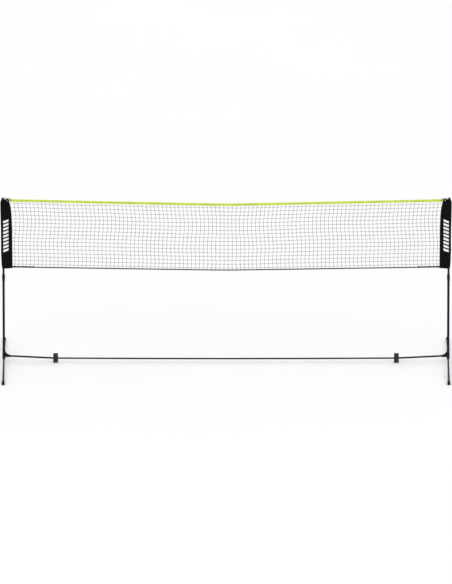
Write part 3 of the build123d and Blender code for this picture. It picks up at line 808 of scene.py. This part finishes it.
def tape_lashing(name, side):
    """The cord that ties the tape to the sleeve: out of the eyelet on each face, over the top
    corner, along the tape's top edge and down round the tape in single turns of thin twine."""
    ties_low, ties_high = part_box(f"{name}_tape_ties")
    near, far = sorted((POST_X - abs(ties_low.x), POST_X - abs(ties_high.x)))
    eyelet_low, eyelet_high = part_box(f"{name}_eyelets")
    eye_x = POST_X - abs(eyelet_low.x + eyelet_high.x) / 2
    eye_z = (eyelet_low.z + eyelet_high.z) / 2
    eye_y = eyelet_high.y
    shape = Shape()
    run_z = TAPE_END_Z + TAPE_TALL / 2 + LASHING_RISE
    for face in (-1, 1):
        points = [
            (eye_x + 0.001, face * (eye_y - 0.004), eye_z),
            (eye_x + 0.0005, face * (eye_y + 0.004), eye_z),
            (eye_x + 0.005, face * (eye_y + 0.002), run_z - 0.003),
            (near - 0.016, face * LASHING_APART, run_z + 0.001),
            (near - 0.004, face * LASHING_APART, run_z),
            (far - 0.002, face * LASHING_APART, run_z - 0.0012),
        ]
        curve = bezier_line([world(point, side) for point in points], 26)
        shape.tube(rings_along(curve, LASHING_R, 8))
    for x in (near + 0.002, far - 0.003):
        wrap = []
        middle = float(tape_z(POST_X - x))
        for a in np.linspace(0, 2 * math.pi, 40):
            deep = LASHING_DEEP * math.copysign(abs(math.cos(a)) ** 0.3, math.cos(a))
            reach = TAPE_TALL / 2 + (LASHING_RISE + LASHING_R if math.sin(a) > 0 else WHIPPING_R)
            tall = reach * math.copysign(abs(math.sin(a)) ** 0.75, math.sin(a))
            if tall > TAPE_TALL / 2:
                deep *= LASHING_NARROW
            wrap.append(world((x + 0.0002 * a, deep, middle + tall), side))
        shape.tube(rings_along(wrap, WHIPPING_R, 6))
    piece = dress(shape.build(f"{name}_tape_lashing"), MATERIALS["black_cord"])
    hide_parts(f"{name}_tape_ties")
    return piece


def bezier_line(points, count):
    """A smooth line drawn by de Casteljau's rule from its control points."""
    line = []
    for t in np.linspace(0, 1, count):
        work = [np.array(p, float) for p in points]
        while len(work) > 1:
            work = [a * (1 - t) + b * t for a, b in zip(work, work[1:])]
        line.append(work[0])
    return line


# ---------------------------------------------------------------- stage, lights and camera
def floor():
    """A plain pale floor."""
    shape = Shape()
    reach = 60.0
    shape.grid([[(-reach, -reach, 0), (reach, -reach, 0)], [(-reach, reach, 0), (reach, reach, 0)]])
    piece = shape.build("floor")
    material, nodes, links, shader, place = new_material("floor_pale")
    tone = noise_node(nodes, links, place, 0.7)
    colour = blend_node(nodes, links, tone, (0.84, 0.84, 0.84), (0.86, 0.86, 0.86))
    links.new(colour, shader.inputs["Base Color"])
    shader.inputs["Roughness"].default_value = 0.9
    piece.data.materials.append(material)


LIGHT_WIDE = 9.0
LIGHT_TARGET = (0, 0, 0.8)


def soft_light(name, place, power):
    """A round area light that faces the middle of the net."""
    data = bpy.data.lights.new(name, "AREA")
    data.shape = "DISK"
    data.size = LIGHT_WIDE
    data.energy = power
    lamp = bpy.data.objects.new(name, data)
    lamp.location = place
    lamp.rotation_euler = (Vector(LIGHT_TARGET) - Vector(place)).to_track_quat("-Z", "Y").to_euler()
    bpy.context.scene.collection.objects.link(lamp)


def lights():
    """Three soft lights in an even white room."""
    soft_light("key", (-7.0, -10.0, 13.0), 330)
    soft_light("fill", (9.0, -8.0, 8.0), 180)
    soft_light("back", (0, 12.0, 10.0), 160)
    studio = bpy.data.worlds.new("studio")
    studio.use_nodes = True
    studio.node_tree.nodes["Background"].inputs["Color"].default_value = (1, 1, 1, 1)
    studio.node_tree.nodes["Background"].inputs["Strength"].default_value = 1.02
    bpy.context.scene.world = studio
    bpy.context.scene.view_settings.view_transform = "Standard"


def camera():
    """A long lens from 20 degrees above, square to the net."""
    far = 170.0
    view_tall = 5.252  # the height in view at the net, across the line of sight
    aim = Vector((0, 0, 0.6737))
    rise = math.radians(20)
    data = bpy.data.cameras.new("camera")
    data.sensor_width = 36.0
    data.lens = data.sensor_width * far / view_tall
    data.clip_end = 1000
    eye = bpy.data.objects.new("camera", data)
    back = Vector((0, -math.cos(rise), math.sin(rise)))
    eye.location = aim + back * far
    eye.rotation_euler = (-back).to_track_quat("-Z", "Y").to_euler()
    bpy.context.scene.collection.objects.link(eye)
    bpy.context.scene.camera = eye


camera()
lights()
floor()
dress_cad()
tape_cloth([net_mesh(), tape_stitching()])
bottom_cord()
cord_loops()
for side_name, side_sign in SIDES.items():
    sleeve(side_name, side_sign)
    sleeve_stitching(side_name, side_sign)
    sleeve_print(side_name, side_sign)
    pocket_patch(side_name, side_sign)
    tape_lashing(side_name, side_sign)
    cord_tail(side_name, side_sign)

bpy.context.view_layer.update()
